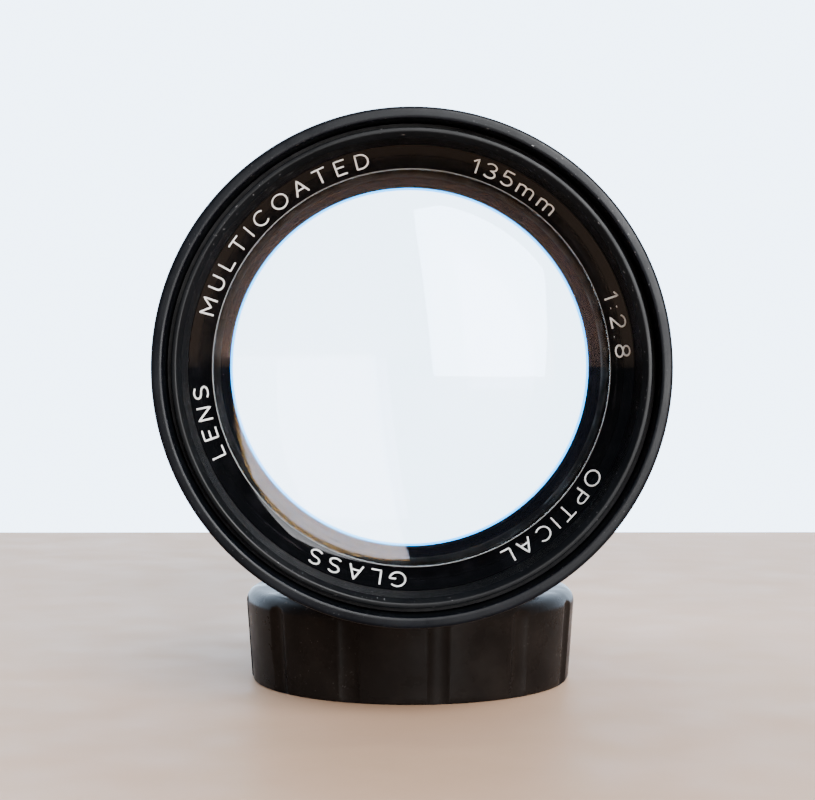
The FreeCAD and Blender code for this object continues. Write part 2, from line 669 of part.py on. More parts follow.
def main():
    os.makedirs("parts", exist_ok=True)
    nodes = {make.__name__: lay_down(make()) for make in ROUND_NODES}
    for number in range(BLADES):
        nodes["iris_blade_%02d" % (number + 1)] = lay_down(iris_blade(number))
    nodes["rear_cap"] = rear_cap()
    for name, shape in nodes.items():
        if not shape.isValid() or shape.Volume <= 0:
            print("CHECK", name, shape.isValid(), shape.Volume)
        shape.exportStep("parts/%s.step" % name)
    print(len(nodes), "nodes")


main()
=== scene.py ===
import json
import math

import bmesh
import bpy
from mathutils import Euler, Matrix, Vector


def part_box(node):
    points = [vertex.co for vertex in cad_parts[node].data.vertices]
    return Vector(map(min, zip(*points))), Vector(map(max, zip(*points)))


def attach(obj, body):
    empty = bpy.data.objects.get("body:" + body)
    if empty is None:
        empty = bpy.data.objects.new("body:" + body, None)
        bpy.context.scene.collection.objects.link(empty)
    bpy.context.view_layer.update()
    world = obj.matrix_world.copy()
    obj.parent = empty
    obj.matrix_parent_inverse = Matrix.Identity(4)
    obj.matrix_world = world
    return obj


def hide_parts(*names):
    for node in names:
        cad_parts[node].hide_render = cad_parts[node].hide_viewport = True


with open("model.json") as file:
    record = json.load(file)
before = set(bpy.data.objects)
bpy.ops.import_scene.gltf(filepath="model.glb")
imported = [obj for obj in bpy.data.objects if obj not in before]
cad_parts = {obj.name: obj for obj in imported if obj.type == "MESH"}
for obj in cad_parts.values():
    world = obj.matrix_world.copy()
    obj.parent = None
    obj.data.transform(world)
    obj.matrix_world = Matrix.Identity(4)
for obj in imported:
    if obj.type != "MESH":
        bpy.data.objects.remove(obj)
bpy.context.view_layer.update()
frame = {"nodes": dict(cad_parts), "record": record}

# The looks of a 135 mm telephoto lens lying on its rear cap. Metres in the scene; the profiles
# below are in millimetres, as (radius, s), where s is the distance forward from the mount's
# flange face, so y = -s. Angles are counted anticlockwise as seen from the front, from +X.

MM = 0.001
SEGMENTS = 288


# ---- camera ----------------------------------------------------------------------------------
CAMERA_DISTANCE = 0.199   # from the hood's rim
CAMERA_DOWN, CAMERA_RIGHT = 1.230, 0.221   # degrees that it looks away from the optical axis
FOCAL_LENGTH = 75.45      # on a frame 36 mm wide


def make_camera():
    """Almost straight in front of the lens, a little to its left and above its axis."""
    data = bpy.data.cameras.new("camera")
    data.sensor_width = 36.0
    data.lens = FOCAL_LENGTH
    data.clip_start = 0.01
    data.clip_end = 20.0
    data.dof.use_dof = False
    camera = bpy.data.objects.new("camera", data)
    bpy.context.scene.collection.objects.link(camera)
    rim = -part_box("hood_rim")[0].y
    camera.location = (-0.0013, -rim - CAMERA_DISTANCE, 0.0006)
    camera.rotation_euler = Euler((math.radians(90 - CAMERA_DOWN), 0, math.radians(-CAMERA_RIGHT)))
    bpy.context.scene.camera = camera


make_camera()


# ---- places taken from the frame -------------------------------------------------------------
def reach(node):
    """A node's outer radius and its rear and front s, in millimetres."""
    low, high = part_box(node)
    return round(high.x / MM, 2), round(-high.y / MM, 2), round(-low.y / MM, 2)


# ---- node helpers ------------------------------------------------------------------------------
class Shader:
    """A material with one Principled shader and short ways to add nodes to it."""

    def __init__(self, name, color, roughness, metallic=0.0, **sockets):
        self.material = bpy.data.materials.new(name)
        self.material.use_nodes = True
        self.tree = self.material.node_tree
        self.shader = self.tree.nodes["Principled BSDF"]
        self.shader.inputs["Base Color"].default_value = (*color, 1.0)
        self.shader.inputs["Roughness"].default_value = roughness
        self.shader.inputs["Metallic"].default_value = metallic
        for socket, value in sockets.items():
            self.shader.inputs[socket.replace("_", " ")].default_value = value
        self.place = self.node("ShaderNodeTexCoord").outputs["Object"]
        self.last_normal = None

    def node(self, kind, **settings):
        made = self.tree.nodes.new(kind)
        for key, value in settings.items():
            setattr(made, key, value)
        return made

    def link(self, output, target):
        self.tree.links.new(output, target)

    def math(self, operation, first, second=None, third=None):
        made = self.node("ShaderNodeMath", operation=operation)
        for i, value in enumerate((first, second, third)):
            if value is None:
                continue
            if isinstance(value, (int, float)):
                made.inputs[i].default_value = value
            else:
                self.link(value, made.inputs[i])
        return made.outputs[0]

    def noise(self, scale, detail=3.0, place=None, rough=0.55):
        made = self.node("ShaderNodeTexNoise")
        made.inputs["Scale"].default_value = scale
        made.inputs["Detail"].default_value = detail
        made.inputs["Roughness"].default_value = rough
        self.link(place or self.place, made.inputs["Vector"])
        return made.outputs["Fac"]

    def turned_place(self, radial=1.0, axial=1.0):
        """Coordinates that are the same all the way round, so that noise makes lathe marks."""
        split = self.node("ShaderNodeSeparateXYZ")
        self.link(self.place, split.inputs[0])
        x2 = self.math("MULTIPLY", split.outputs["X"], split.outputs["X"])
        z2 = self.math("MULTIPLY", split.outputs["Z"], split.outputs["Z"])
        radius = self.math("SQRT", self.math("ADD", x2, z2))
        join = self.node("ShaderNodeCombineXYZ")
        self.link(self.math("MULTIPLY", radius, radial), join.inputs["X"])
        self.link(self.math("MULTIPLY", split.outputs["Y"], axial), join.inputs["Y"])
        return join.outputs[0]

    def ramp(self, value, low, high, to_low, to_high):
        """Maps value from low..high to to_low..to_high, clamped."""
        made = self.node("ShaderNodeMapRange")
        made.inputs["From Min"].default_value = low
        made.inputs["From Max"].default_value = high
        made.inputs["To Min"].default_value = to_low
        made.inputs["To Max"].default_value = to_high
        self.link(value, made.inputs["Value"])
        return made.outputs["Result"]

    def mix(self, share, first, second):
        """Mixes two colours, each a tuple or an output."""
        made = self.node("ShaderNodeMix", data_type="RGBA")
        self.link(share, made.inputs[0])
        for socket, value in ((made.inputs[6], first), (made.inputs[7], second)):
            if isinstance(value, tuple):
                socket.default_value = (*value, 1.0)
            else:
                self.link(value, socket)
        return made.outputs[2]

    def color(self, output):
        self.link(output, self.shader.inputs["Base Color"])

    def roughness(self, value, low, high, to_low, to_high):
        self.link(self.ramp(value, low, high, to_low, to_high), self.shader.inputs["Roughness"])

    def bump(self, height, distance, strength=1.0):
        made = self.node("ShaderNodeBump")
        made.inputs["Strength"].default_value = strength
        made.inputs["Distance"].default_value = distance
        self.link(height, made.inputs["Height"])
        if self.last_normal is not None:
            self.link(self.last_normal, made.inputs["Normal"])
        self.last_normal = made.outputs[0]
        self.link(self.last_normal, self.shader.inputs["Normal"])

    def edge_wear(self, under, amount=0.5, grain=900.0, bare_metal=True):
        """Shows what is under the surface where a corner is an edge and the noise is high."""
        edge = self.node("ShaderNodeAttribute", attribute_name="edge").outputs["Fac"]
        worn = self.math("MULTIPLY", edge, self.noise(grain, 4.0))
        share = self.ramp(worn, 1.0 - amount, 1.0 - amount + 0.12, 0.0, 1.0)
        coat = self.shader.inputs["Base Color"]
        before = coat.links[0].from_socket if coat.links else tuple(coat.default_value)[:3]
        self.color(self.mix(share, before, under))
        if bare_metal:
            self.link(share, self.shader.inputs["Metallic"])


def speckled_dust(s, amount=0.62, tint=(0.32, 0.33, 0.35)):
    """Fine specks of dust over the base colour."""
    coat = s.shader.inputs["Base Color"]
    before = coat.links[0].from_socket if coat.links else tuple(coat.default_value)[:3]
    specks = s.ramp(s.noise(2600.0, 1.0), amount + 0.08, amount + 0.14, 0.0, 0.5)
    patches = s.ramp(s.noise(60.0, 2.0), 0.45, 0.7, 0.0, 1.0)
    s.color(s.mix(s.math("MULTIPLY", specks, patches), before, tint))


# ---- materials -----------------------------------------------------------------------------------
def anodised(name, color=(0.0045, 0.005, 0.006), roughness=0.36, worn=0.36, sheen=0.22):
    """Satin black anodised aluminium: turning marks, uneven sheen and bare metal at the edges."""
    s = Shader(name, color, roughness, Specular_IOR_Level=sheen)
    lighter = tuple(c * 1.7 + 0.0006 for c in color)
    s.color(s.mix(s.ramp(s.noise(140.0, 4.0), 0.35, 0.7, 0.0, 1.0), color, lighter))
    speckled_dust(s)
    s.edge_wear((0.42, 0.42, 0.43), worn)
    s.roughness(s.noise(220.0, 5.0), 0.3, 0.7, roughness - 0.07, roughness + 0.10)
    s.bump(s.noise(9000.0, 2.0, s.turned_place()), 0.000010, 0.4)
    s.bump(s.noise(5200.0, 2.0), 0.000006, 0.2)
    return s.material


def matt_black(name, color=(0.0035, 0.0035, 0.004), roughness=0.7):
    s = Shader(name, color, roughness, Specular_IOR_Level=0.08)
    s.color(s.mix(s.noise(300.0, 4.0), color, tuple(c * 2.0 for c in color)))
    s.roughness(s.noise(600.0, 3.0), 0.3, 0.7, roughness - 0.1, roughness + 0.1)
    s.bump(s.noise(9000.0, 2.0, s.turned_place()), 0.000010, 0.3)
    return s.material


def gloss_black(name):
    """The lacquered front ring: nearly a mirror, with fine turning marks and light scuffs."""
    s = Shader(name, (0.0012, 0.0012, 0.0015), 0.06, Specular_IOR_Level=0.22)
    s.color(s.mix(s.ramp(s.noise(400.0, 4.0), 0.5, 0.8, 0.0, 1.0),
                  (0.0012, 0.0012, 0.0015), (0.004, 0.004, 0.005)))
    s.roughness(s.noise(160.0, 5.0), 0.35, 0.75, 0.04, 0.11)
    s.bump(s.noise(11000.0, 2.0, s.turned_place()), 0.000002, 0.25)
    return s.material


def metal(name, color, roughness, marks=9000.0, spread=0.08, tarnish=None):
    """Bare metal with lathe marks and a slow change of tone."""
    s = Shader(name, color, roughness, metallic=1.0)
    dark = tarnish or tuple(c * 0.72 for c in color)
    s.color(s.mix(s.ramp(s.noise(180.0, 5.0), 0.4, 0.75, 0.0, 1.0), color, dark))
    s.roughness(s.noise(350.0, 4.0), 0.3, 0.7, roughness - spread * 0.5, roughness + spread)
    s.bump(s.noise(marks, 2.0, s.turned_place()), 0.000008, 0.5)
    return s.material


def rubber(name):
    s = Shader(name, (0.007, 0.007, 0.0075), 0.62, Specular_IOR_Level=0.3)
    s.color(s.mix(s.ramp(s.noise(90.0, 5.0), 0.35, 0.75, 0.0, 1.0), (0.006, 0.006, 0.0065),
                  (0.014, 0.0135, 0.013)))
    speckled_dust(s, 0.56, (0.25, 0.25, 0.25))
    s.roughness(s.noise(500.0, 4.0), 0.3, 0.7, 0.52, 0.74)
    s.bump(s.noise(4200.0, 3.0), 0.00002, 0.5)
    return s.material


def cap_plastic(name):
    """Semi-gloss brown-black moulded plastic with fine scratches."""
    s = Shader(name, (0.008, 0.0062, 0.0056), 0.3, Specular_IOR_Level=0.03)
    s.color(s.mix(s.ramp(s.noise(120.0, 5.0), 0.4, 0.75, 0.0, 1.0), (0.007, 0.0056, 0.005),
                  (0.014, 0.011, 0.0095)))
    speckled_dust(s, 0.62, (0.10, 0.09, 0.085))
    s.edge_wear((0.045, 0.036, 0.031), 0.40, bare_metal=False)
    s.roughness(s.noise(260.0, 5.0), 0.3, 0.75, 0.22, 0.42)
    s.bump(s.noise(2400.0, 2.0), 0.000014, 0.35)
    s.bump(s.noise(260.0, 2.0), 0.00006, 0.25)
    return s.material


def glass(name, ior, tint, color=(1.0, 1.0, 1.0)):
    """Optical glass whose coating gives weak tinted reflections."""
    s = Shader(name, color, 0.0, Transmission_Weight=1.0, IOR=ior)
    s.shader.inputs["Specular Tint"].default_value = (*tint, 1.0)
    return s.material


def paint(name, color, roughness=0.5):
    """Enamel in engraved figures, slightly uneven and dirty."""
    s = Shader(name, color, roughness)
    s.color(s.mix(s.ramp(s.noise(900.0, 4.0), 0.4, 0.8, 0.0, 1.0), color,
                  tuple(c * 0.72 for c in color)))
    s.roughness(s.noise(1500.0, 3.0), 0.3, 0.7, roughness - 0.1, roughness + 0.15)
    s.bump(s.noise(5000.0, 2.0), 0.00001, 0.4)
    return s.material


MATERIALS = {
    "black_anodised": anodised("black_anodised"),
    "hood_black": anodised("hood_black", (0.002, 0.0027, 0.0042), 0.32, 0.30, 0.05),
    "name_black": gloss_black("name_black"),
    "matt_black": matt_black("matt_black"),
    "chrome": metal("chrome", (0.56, 0.56, 0.57), 0.2, marks=6000.0),
    "screw_steel": metal("screw_steel", (0.50, 0.50, 0.51), 0.24),
    "brass": metal("brass", (0.70, 0.50, 0.22), 0.22, tarnish=(0.42, 0.28, 0.11)),
    "plain_aluminium": metal("plain_aluminium", (0.60, 0.60, 0.61), 0.3),
    "blade_steel": metal("blade_steel", (0.05, 0.05, 0.055), 0.32, marks=4000.0),
    "grip_rubber": rubber("grip_rubber"),
    "hood_plastic": matt_black("hood_plastic", (0.008, 0.008, 0.008), 0.5),
    "cap_plastic": cap_plastic("cap_plastic"),
    "front_glass": glass("front_glass", 1.62, (0.30, 0.36, 0.50)),
    "amber_glass": glass("amber_glass", 1.62, (0.27, 0.16, 0.055)),
    "flint_glass": glass("flint_glass", 1.72, (0.36, 0.30, 0.48)),
    "rear_glass": glass("rear_glass", 1.60, (0.45, 0.33, 0.24)),
}
FILTER_BLACK = anodised("filter_ring_black", (0.002, 0.0025, 0.0033), 0.34, 0.30, 0.05)
WHITE = paint("white_enamel", (0.92, 0.92, 0.90))
WORN_WHITE = paint("worn_white", (0.22, 0.22, 0.21))
ORANGE = paint("orange_enamel", (0.75, 0.20, 0.03))
# a clear blue film that paints the coloured fringe of light at the edge of the bright disc
PAINTED_FRINGE_FILM = glass("painted_blue_fringe", 1.0, (1.0, 1.0, 1.0), (0.0, 0.47, 1.0))
RED = paint("red_enamel", (0.62, 0.03, 0.03))


# ---- mesh helpers ----------------------------------------------------------------------------------
def finish_piece(name, mesh, material, body, replaced=(), sharp=32):
    mesh.shade_smooth()
    mesh.set_sharp_from_angle(angle=math.radians(sharp))
    piece = bpy.data.objects.new(name, mesh)
    bpy.context.scene.collection.objects.link(piece)
    mesh.materials.append(material)
    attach(piece, body)
    if replaced:
        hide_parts(*replaced)
    return piece


def rounded(corners, fillet, steps=4):
    """Rounds a closed outline's corners. A corner is (radius, s) or (radius, s, its own fillet).

    Returns (radius, s, edge), where edge is 1 in the middle of a rounded corner."""
    points = []
    count = len(corners)
    for i, corner in enumerate(corners):
        here = Vector(corner[:2])
        size = corner[2] if len(corner) > 2 else fillet
        before, after = Vector(corners[i - 1][:2]), Vector(corners[(i + 1) % count][:2])
        to_before, to_after = before - here, after - here
        cut = min(size, to_before.length * 0.45, to_after.length * 0.45)
        if cut < 0.004:
            points.append((here.x, here.y, 0.0))
            continue
        start = here + to_before.normalized() * cut
        end = here + to_after.normalized() * cut
        for k in range(steps + 1):
            t = k / steps
            p = start * (1 - t) ** 2 + here * 2 * t * (1 - t) + end * t * t
            points.append((p.x, p.y, 1.0 if 0 < k < steps else 0.0))
    return points


def turned_mesh(name, outline, segments, shape, place, closed):
    """Turns an outline of (radius, height) or (radius, height, edge) into a mesh.

    shape(radius, height, angle) gives the radius at an angle and place(radius, height, angle)
    the point in metres."""
    mesh = bpy.data.meshes.new(name)
    rows = len(outline)
    places = []
    edges = []
    for j in range(segments):
        angle = 2 * math.pi * j / segments
        for point in outline:
            radius, height = point[:2]
            if shape:
                radius = shape(radius, height, angle)
            places.append(place(radius, height, angle))
            edges.append(point[2] if len(point) > 2 else 0.0)
    faces = []
    last = rows if closed else rows - 1
    for j in range(segments):
        a, b = j * rows, (j + 1) % segments * rows
        for i in range(last):
            k = (i + 1) % rows
            faces.append((a + i, a + k, b + k, b + i))
    mesh.from_pydata(places, [], faces)
    mesh.attributes.new("edge", "FLOAT", "POINT").data.foreach_set("value", edges)
    tidy(mesh)
    return mesh


def on_axis(radius, s, angle):
    """A point round the optical axis."""
    return radius * math.cos(angle) * MM, -s * MM, radius * math.sin(angle) * MM


def lathe(name, outline, material, body, replaced=(), segments=SEGMENTS, shape=None,
          closed=True, sharp=32):
    """Turns an outline about the optical axis. shape(radius, s, angle) may change a radius."""
    mesh = turned_mesh(name, outline, segments, shape, on_axis, closed)
    return finish_piece(name, mesh, material, body, replaced, sharp)


def tidy(mesh):
    """Merges points on the axis and turns all faces outward."""
    work = bmesh.new()
    work.from_mesh(mesh)
    bmesh.ops.remove_doubles(work, verts=work.verts, dist=1e-7)
    bmesh.ops.recalc_face_normals(work, faces=work.faces)
    work.to_mesh(mesh)
    work.free()


def dome(vertex, radius, r):
    """s of a spherical face at distance r from the axis; radius > 0 bulges forward."""
    return vertex - radius + math.copysign(math.sqrt(radius * radius - r * r), radius)


def element(node, material, front, back, rim):
    """A glass element with a blackened rim. front and back are (vertex s, radius, clear radius)
    and rim is (radius, front s, back s)."""
    rings = 40
    outline = []
    for i in range(rings + 1):
        r = front[2] * i / rings
        outline.append((r, dome(front[0], front[1], r)))
    outline += [(rim[0], rim[1]), (rim[0], rim[2])]
    for i in range(rings, -1, -1):
        r = back[2] * i / rings
        outline.append((r, dome(back[0], back[1], r)))
    piece = lathe(node + "_glass", outline, material, "front_barrel", (node,), closed=False,
                  sharp=20)
    mesh = piece.data
    mesh.materials.append(MATERIALS["matt_black"])
    ground = (min(front[2], back[2]) + 0.02) * MM
    for face in mesh.polygons:
        corners = [mesh.vertices[v].co for v in face.vertices]
        if min(math.hypot(c.x, c.z) for c in corners) > ground and (
                max(math.hypot(c.x, c.z) for c in corners) > (rim[0] - 0.01) * MM):
            face.material_index = 1


# ---- lettering: one pen stroke at a time, in units of the capital height ------------------------
def arc(cx, cy, rx, ry, start, end, steps=14):
    turns = [math.radians(start + (end - start) * i / steps) for i in range(steps + 1)]
    return [(cx + rx * math.cos(a), cy + ry * math.sin(a)) for a in turns]


PEN = {
    "0": (0.60, [arc(0.30, 0.5, 0.27, 0.5, 0, 360, 24)]),
    "1": (0.34, [[(0.05, 0.78), (0.26, 1.0), (0.26, 0.0)]]),
    "2": (0.60, [arc(0.30, 0.71, 0.27, 0.29, 165, -35) + [(0.03, 0.0), (0.58, 0.0)]]),
    "3": (0.58, [arc(0.28, 0.75, 0.25, 0.25, 150, -90) + arc(0.28, 0.25, 0.28, 0.25, 90, -150)]),
    "4": (0.62, [[(0.45, 0.0), (0.45, 1.0), (0.02, 0.3), (0.6, 0.3)]]),
    "5": (0.58, [[(0.53, 1.0), (0.12, 1.0), (0.08, 0.57)] + arc(0.28, 0.31, 0.28, 0.31, 125, -145)]),
    "6": (0.60, [arc(0.30, 0.3, 0.27, 0.3, 0, 360, 24), arc(0.60, 0.34, 0.57, 0.64, 180, 110)]),
    "7": (0.58, [[(0.03, 1.0), (0.56, 1.0), (0.2, 0.0)]]),
    "8": (0.60, [arc(0.30, 0.76, 0.23, 0.24, 0, 360, 20), arc(0.30, 0.26, 0.28, 0.26, 0, 360, 20)]),
    ":": (0.20, [[(0.1, 0.2), (0.1, 0.24)], [(0.1, 0.64), (0.1, 0.68)]]),
    ".": (0.20, [[(0.1, 0.0), (0.1, 0.04)]]),
    "m": (0.92, [[(0.05, 0.0), (0.05, 0.66)], arc(0.25, 0.46, 0.2, 0.2, 180, 0) + [(0.45, 0.0)],
                 arc(0.65, 0.46, 0.2, 0.2, 180, 0) + [(0.85, 0.0)]]),
    "f": (0.40, [arc(0.34, 0.8, 0.16, 0.2, 80, 180) + [(0.18, 0.0)], [(0.03, 0.62), (0.34, 0.62)]]),
    "t": (0.40, [[(0.18, 0.9), (0.18, 0.15)] + arc(0.3, 0.15, 0.12, 0.15, 180, 280),
                 [(0.03, 0.62), (0.36, 0.62)]]),
    "~": (1.10, [arc(0.28, 0.5, 0.25, 0.25, 0, 360, 20), arc(0.80, 0.5, 0.27, 0.25, 0, 360, 20)]),
    "A": (0.68, [[(0.0, 0.0), (0.33, 1.0), (0.66, 0.0)], [(0.12, 0.34), (0.54, 0.34)]]),
    "C": (0.72, [arc(0.38, 0.5, 0.36, 0.5, 48, 312, 20)]),
    "D": (0.68, [[(0.25, 0.0), (0.05, 0.0), (0.05, 1.0), (0.25, 1.0)]
                 + arc(0.25, 0.5, 0.38, 0.5, 90, -90, 18)]),
    "E": (0.58, [[(0.55, 1.0), (0.05, 1.0), (0.05, 0.0), (0.55, 0.0)], [(0.05, 0.52), (0.46, 0.52)]]),
    "G": (0.78, [arc(0.40, 0.5, 0.38, 0.5, 48, 345, 22) + [(0.76, 0.46), (0.46, 0.46)]]),
    "I": (0.12, [[(0.06, 0.0), (0.06, 1.0)]]),
    "L": (0.56, [[(0.05, 1.0), (0.05, 0.0), (0.53, 0.0)]]),
    "M": (0.82, [[(0.05, 0.0), (0.05, 1.0), (0.40, 0.3), (0.76, 1.0), (0.76, 0.0)]]),
    "N": (0.68, [[(0.05, 0.0), (0.05, 1.0), (0.62, 0.0), (0.62, 1.0)]]),
    "O": (0.80, [arc(0.40, 0.5, 0.38, 0.5, 0, 360, 26)]),
    "P": (0.62, [[(0.05, 0.0), (0.05, 1.0), (0.32, 1.0)] + arc(0.32, 0.74, 0.26, 0.26, 90, -90)
                 + [(0.05, 0.48)]]),
    "S": (0.60, [arc(0.30, 0.75, 0.26, 0.25, 38, 270, 16) + arc(0.30, 0.25, 0.28, 0.25, 90, -145, 16)]),
    "T": (0.64, [[(0.0, 1.0), (0.64, 1.0)], [(0.32, 1.0), (0.32, 0.0)]]),
    "U": (0.66, [[(0.05, 1.0)] + arc(0.33, 0.32, 0.28, 0.32, 180, 360) + [(0.61, 1.0)]]),
}


def written(text, height, gap=0.26, stretch=1.0):
    """Strokes of a line of text in millimetres, starting at 0, and the line's width."""
    strokes, at = [], 0.0
    for letter in text:
        width, pens = PEN[letter]
        for pen in pens:
            strokes.append([((at + x * stretch) * height, y * height) for x, y in pen])
        at += width * stretch + gap
    return strokes, (at - gap) * height


def engrave(name, strokes, material, body, pen=0.13):
    """Fine filled strokes from lists of points in the model's frame, in millimetres."""
    curve = bpy.data.curves.new(name, "CURVE")
    curve.dimensions = "3D"
    curve.bevel_depth = pen * MM
    curve.bevel_resolution = 1
    curve.use_fill_caps = True
    for stroke in strokes:
        spline = curve.splines.new("POLY")
        spline.points.add(len(stroke) - 1)
        for point, place in zip(spline.points, stroke):
            point.co = (*(c * MM for c in place), 1.0)
    holder = bpy.data.objects.new(name + "_pen", curve)
    bpy.context.scene.collection.objects.link(holder)
    bpy.context.view_layer.update()
    mesh = bpy.data.meshes.new_from_object(holder)
    bpy.data.objects.remove(holder)
    mesh.name = name
    mesh.materials.clear()
    return finish_piece(name, mesh, material, body, sharp=60)


def split_long(stroke, longest=0.25):
    """Adds points to long straight strokes, so that they can follow a curved surface."""
    points = [stroke[0]]
    for (x0, y0), (x1, y1) in zip(stroke, stroke[1:]):
        steps = max(1, math.ceil(math.hypot(x1 - x0, y1 - y0) / longest))
        points += [(x0 + (x1 - x0) * k / steps, y0 + (y1 - y0) * k / steps)
                   for k in range(1, steps + 1)]
    return points


def on_barrel(strokes, radius, degrees, s, width=0.0):
    """Wraps text round a cylinder, tops forward, centred on an angle."""
    wrapped = []
    for stroke in strokes:
        places = []
        for u, v in split_long(stroke):
            angle = math.radians(degrees) + (u - width / 2) / radius
            places.append((radius * math.cos(angle), -(s + v), radius * math.sin(angle)))
        wrapped.append(places)
    return wrapped


MIDDLE_OF_LETTER = 0.9    # from a letter's foot on the front ring outward to its middle


def on_cone(strokes, start, foot_r, foot_s, sunk=0.05):
    """Lays text on the 45 degree front ring, tops outward, reading clockwise from an angle."""
    slant = math.sqrt(0.5)
    middle_r = foot_r + MIDDLE_OF_LETTER
    wrapped = []
    for stroke in strokes:
        places = []
        for u, v in split_long(stroke):
            angle = math.radians(start) - u / middle_r
            r = foot_r + v * slant + sunk * slant
            s = foot_s + v * slant - sunk * slant
            places.append((r * math.cos(angle), -s, r * math.sin(angle)))
        wrapped.append(places)
    return wrapped


# ---- hood ---------------------------------------------------------------------------------------
def make_hood():
    lip_r, lip_rear, lip_front = reach("hood_rim")
    tube_r, tube_rear, tube_front = reach("hood_tube")
    lip_in = lip_r - 1.35
    rim = [(lip_in, lip_rear, 0.15), (lip_r, lip_rear, 0.2), (lip_r, lip_front, 1.0),
           (lip_r - 1.05, lip_front, 0.08), (lip_in, lip_front - 0.06, 0.22)]
    lathe("hood_rim_turned", rounded(rim, 0.2, 6), MATERIALS["hood_black"], "hood",
          ("hood_rim",))
    wall = [(28.75, tube_rear), (tube_r, tube_rear, 0.2), (tube_r, tube_front, 0.15),
            (tube_r - 0.85, tube_front), (tube_r - 0.85, 66.3), (28.75, 66.3)]
    lathe("hood_tube_turned", rounded(wall, 0.1), MATERIALS["hood_black"], "hood",
          ("hood_tube",))


# ---- front ring and shell -------------------------------------------------------------------------
FILTER_ROOT, FILTER_CREST, FILTER_PITCH, FILTER_GROOVES = 27.5, 27.1, 0.75, 8


def make_front_shell():
    shoulder_r, _, rim = reach("front_shell")
    shell_r = 28.3
    corners = [(25.2, 56.0), (27.2, 56.0), (27.2, 62.0), (shoulder_r, 62.0, 0.3),
               (shoulder_r, 64.0, 0.3), (shell_r, 64.0), (shell_r, rim, 0.32),
               (FILTER_ROOT + 0.22, rim, 0.12), (FILTER_ROOT - 0.1, rim - 0.3, 0.05)]
    s = rim - 0.6
    for _ in range(FILTER_GROOVES):
        corners += [(FILTER_CREST, s, 0.06), (FILTER_CREST, s - 0.2, 0.06),
                    (FILTER_ROOT, s - 0.45, 0.03), (FILTER_ROOT, s - 0.55, 0.03)]
        s -= FILTER_PITCH
    corners += [(FILTER_CREST, s, 0.05), (FILTER_CREST, 81.85), (27.35, 81.7), (27.35, 79.0),
                (26.35, 79.0), (26.35, 62.1), (25.2, 62.1)]
    lathe("front_shell_turned", rounded(corners, 0.02, 3), FILTER_BLACK,
          "front_barrel", ("front_shell",), segments=360)


def make_name_ring():
    outer_r, base, top = reach("name_ring")
    inner_r = 24.38
    inner_s = base + 0.12
    cone = [(inner_r, base), (outer_r, base), (outer_r, top, 0.05), (inner_r, inner_s, 0.02)]
    lathe("name_ring_turned", rounded(cone, 0.02, 3), MATERIALS["name_black"], "front_barrel",
          ("name_ring",), segments=360)
    line = [(inner_r + 0.03, inner_s + 0.04), (inner_r + 0.09, inner_s + 0.10),
            (inner_r + 0.08, inner_s + 0.115), (inner_r + 0.02, inner_s + 0.055)]
    lathe("front_ring_line", line, WORN_WHITE, "front_barrel", segments=360)
    engrave("front_ring_letters", front_ring_words(inner_r + 0.72, inner_s + 0.72), WHITE,
            "front_barrel", 0.135)


def front_ring_words(foot_r, foot_s):
    """Strokes of the words, each from its first letter's angle, spaced out to fill its span."""
    words = [("LENS", -155.0, 20.0), ("MULTICOATED", -194.6, 63.8), ("135mm", -286.6, 25.7),
             ("1:2.8", -339.0, 18.0), ("OPTICAL", -29.0, 35.5), ("GLASS", -91.6, 27.1)]
    height, stretch, least_gap = 2.15, 1.2, 0.26
    strokes = []
    for text, start, span in words:
        width = written(text, height, least_gap, stretch)[1]
        goal = math.radians(span) * (foot_r + MIDDLE_OF_LETTER)
        gap = least_gap + (goal - width) / height / (len(text) - 1)
        spread = written(text, height, gap, stretch)[0]
        strokes += on_cone(spread, start, foot_r, foot_s)
    return strokes


# ---- glass and the cells that hold it ---------------------------------------------------------------
def make_glass():
    element("front_element", MATERIALS["front_glass"], (83.9, 62.0, 24.7),
            (75.7, -350.0, 24.0), (24.95, 78.5, 76.7))
    element("second_element", MATERIALS["amber_glass"], (74.7, 38.0, 22.0),
            (68.5, 110.0, 21.5), (22.45, 67.4, 66.2))
    element("third_element", MATERIALS["flint_glass"], (60.5, -150.0, 18.6),
            (58.5, 45.0, 17.5), (19.4, 61.75, 54.96))
    element("fourth_element", MATERIALS["rear_glass"], (33.0, 400.0, 15.6),
            (28.5, 70.0, 15.6), (15.85, 32.6, 26.85))
    element("fifth_element", MATERIALS["rear_glass"], (28.48, 70.0, 15.6),
            (26.2, 150.0, 15.3), (15.85, 26.6, 25.35))


